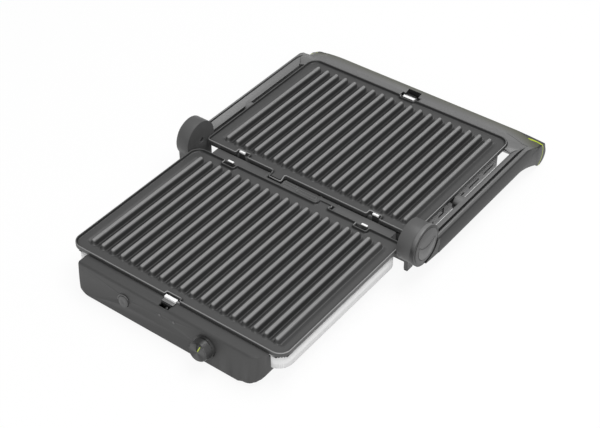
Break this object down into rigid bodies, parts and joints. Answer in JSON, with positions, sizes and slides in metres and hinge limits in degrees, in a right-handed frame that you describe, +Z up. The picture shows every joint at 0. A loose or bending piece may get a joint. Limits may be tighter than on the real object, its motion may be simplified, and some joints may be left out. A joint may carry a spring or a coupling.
{
  "type": "panini press",
  "caption": "Contact grill opened flat: two ridged lift-out plates, a control box with knob and button, and a hinged handle frame that carries the floating lid.",
  "frame": {"origin": "centre of the footprint's bounding box on the worktop, under the opened grill", "axes": "+X to the right seen from the controls, +Y away from the controls towards the opened lid, +Z up"},
  "size_m": [0.344, 0.523, 0.0753],
  "materials": {
    "housing": "fine satin moulded grain",
    "yoke": "fine satin moulded grain",
    "frame_grey": "satin metallic grey",
    "lime_trim": "semi gloss",
    "plate_coat": "satin non-stick coating",
    "pan_white": "white enamel",
    "steel": "fine brushed",
    "pin_steel": "ground",
    "element_steel": "heat-dulled",
    "knob_black": "gloss",
    "button_grey": "semi gloss",
    "lens_grey": "clear tinted",
    "slide_black": "satin",
    "rubber": "matt",
    "ceramic": "glazed",
    "board_green": "solder mask",
    "bush_white": "natural"
  },
  "bodies": {
    "base": {"base_housing": "housing", "base_floor": "housing", "hinge_yoke": "yoke", "drip_rail": "housing", "cord_gland": "rubber", "terminal_block": "ceramic", "lower_pan": "pan_white", "lower_element": "element_steel", "lower_element_clips": "steel", "lower_plate_clips": "steel", "base_feet": "rubber", "base_screws": "steel", "thermostat": "steel", "power_switch": "slide_black", "button_bezel": "button_grey", "indicator_lenses": "lens_grey", "indicator_board": "board_green", "hinge_pin_left": "pin_steel", "hinge_pin_right": "pin_steel", "lower_latch_spring": "steel"},
    "knob": {"thermostat_knob": "knob_black", "knob_pointer": "lime_trim", "thermostat_shaft": "pin_steel"},
    "power_button": {"power_button": "button_grey"},
    "lower_latch": {"lower_catch": "steel", "lower_latch_slide": "slide_black"},
    "lower_plate": {"lower_plate": "plate_coat"},
    "handle_frame": {"handle_frame": "frame_grey", "handle_trim": "lime_trim", "handle_back_shell": "housing", "hub_cap_left": "yoke", "hub_cap_right": "yoke", "pivot_bushes": "bush_white", "handle_screws": "steel"},
    "release_button": {"release_button": "button_grey"},
    "lid": {"lid_cover": "housing", "upper_pan": "pan_white", "upper_element": "element_steel", "upper_element_clips": "steel", "upper_plate_clips": "steel", "lid_brackets": "steel", "pivot_pins": "pin_steel", "lid_screws": "steel", "upper_latch_spring": "steel", "upper_latch_bracket": "slide_black"},
    "upper_latch": {"upper_catch": "steel", "upper_latch_slide": "slide_black"},
    "upper_plate": {"upper_plate": "plate_coat"}
  },
  "joints": [
    {"name": "main_hinge", "type": "hinge", "parent": "base", "child": "handle_frame", "pos_m": [0, -0.00532, 0.0503], "axis": [1, 0, 0], "range_deg": [0, 180]},
    {"name": "lid_tilt", "type": "hinge", "parent": "handle_frame", "child": "lid", "pos_m": [0, 0.09488, 0.0343], "axis": [-1, 0, 0], "range_deg": [-7, 0]},
    {"name": "lower_plate_lift", "type": "slide", "parent": "base", "child": "lower_plate", "axis": [0, 0, -1], "range_m": [-0.04, 0]},
    {"name": "upper_plate_lift", "type": "slide", "parent": "lid", "child": "upper_plate", "axis": [0, 0, -1], "range_m": [-0.04, 0]},
    {"name": "lower_latch_slide_out", "type": "slide", "parent": "base", "child": "lower_latch", "axis": [0, -1, 0], "range_m": [0, 0.004], "stiffness_N_per_m": 200, "springref_m": -0.002, "deforming": ["lower_latch_spring"]},
    {"name": "upper_latch_slide_out", "type": "slide", "parent": "lid", "child": "upper_latch", "axis": [0, 1, 0], "range_m": [0, 0.004], "stiffness_N_per_m": 200, "springref_m": -0.002, "deforming": ["upper_latch_spring"]},
    {"name": "power_press", "type": "slide", "parent": "base", "child": "power_button", "axis": [0, 0.9914, -0.1305], "range_m": [0, 0.0025], "stiffness_N_per_m": 300, "springref_m": -0.001},
    {"name": "knob_turn", "type": "hinge", "parent": "base", "child": "knob", "pos_m": [0.059, -0.24674, 0.0245], "axis": [0, 0.9914, -0.1305], "range_deg": [0, 270]},
    {"name": "release_press", "type": "slide", "parent": "handle_frame", "child": "release_button", "axis": [-1, 0, 0], "range_m": [0, 0.0012], "stiffness_N_per_m": 300, "springref_m": -0.001}
  ]
}
